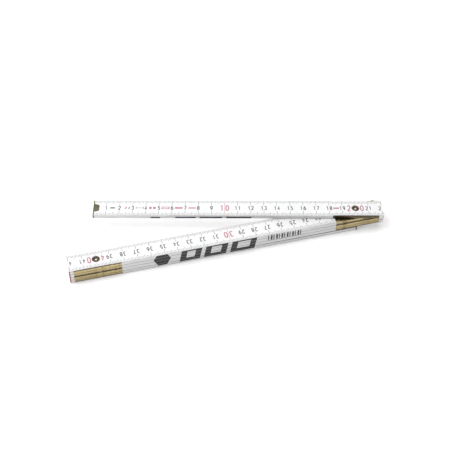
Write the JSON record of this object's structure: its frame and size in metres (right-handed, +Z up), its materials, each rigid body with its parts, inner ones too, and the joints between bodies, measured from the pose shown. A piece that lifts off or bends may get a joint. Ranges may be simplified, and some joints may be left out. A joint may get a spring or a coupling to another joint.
{
  "type": "folding rule",
  "caption": "White-painted wooden folding rule: flat sections pivot in a zigzag on riveted spring joints with brass-plated side plates and metal end caps.",
  "frame": {"origin": "middle of the closed stack on the underside of the fifth section, midway between the two pivot lines, where the rule rests on the table", "axes": "+X along the closed stack, towards the joint on which the first section is swung open; +Y across it, to the side the first section is swung to; +Z up, along the joint axes"},
  "size_m": [0.2432, 0.0698, 0.0154],
  "materials": {
    "painted_wood": "satin white paint over fine straight-grained wood, free ends painted red",
    "brass_plate": "brass-plated sheet, satin, slightly dulled",
    "bronzed_plate": "brass-plated sheet, dark and dulled",
    "end_cap_metal": "brass-plated sheet, dark olive tone, satin",
    "rivet_metal": "dark brass-plated rivet with a bright cup",
    "spring_steel": "plain spring steel"
  },
  "bodies": {
    "first_section": {"section_1": "painted_wood", "joint_1_upper_plate": "bronzed_plate", "joint_1_rivet": "rivet_metal", "zero_end_cap": "end_cap_metal"},
    "second_section": {"section_2": "painted_wood", "joint_1_lower_plate": "brass_plate", "joint_1_spring_washer": "spring_steel", "joint_2_upper_plate": "brass_plate", "joint_2_rivet": "rivet_metal"},
    "third_section": {"section_3": "painted_wood", "joint_2_lower_plate": "brass_plate", "joint_2_spring_washer": "spring_steel", "joint_3_upper_plate": "brass_plate", "joint_3_rivet": "rivet_metal"},
    "fourth_section": {"section_4": "painted_wood", "joint_3_lower_plate": "brass_plate", "joint_3_spring_washer": "spring_steel", "joint_4_upper_plate": "brass_plate", "joint_4_rivet": "rivet_metal"},
    "fifth_section": {"section_5": "painted_wood", "joint_4_lower_plate": "brass_plate", "joint_4_spring_washer": "spring_steel", "far_end_cap": "end_cap_metal"}
  },
  "joints": [
    {"name": "fold_4", "type": "hinge", "parent": "fifth_section", "child": "fourth_section", "pos_m": [-0.1, 0, 0.00305], "axis": [0, 0, 1], "continuous": true},
    {"name": "fold_3", "type": "hinge", "parent": "fourth_section", "child": "third_section", "pos_m": [0.1, 0, 0.00615], "axis": [0, 0, 1], "continuous": true},
    {"name": "fold_2", "type": "hinge", "parent": "third_section", "child": "second_section", "pos_m": [-0.1, 0, 0.00925], "axis": [0, 0, 1], "continuous": true},
    {"name": "fold_1", "type": "hinge", "parent": "second_section", "child": "first_section", "pos_m": [0.1, 0, 0.01235], "axis": [0, 0, 1], "continuous": true}
  ]
}
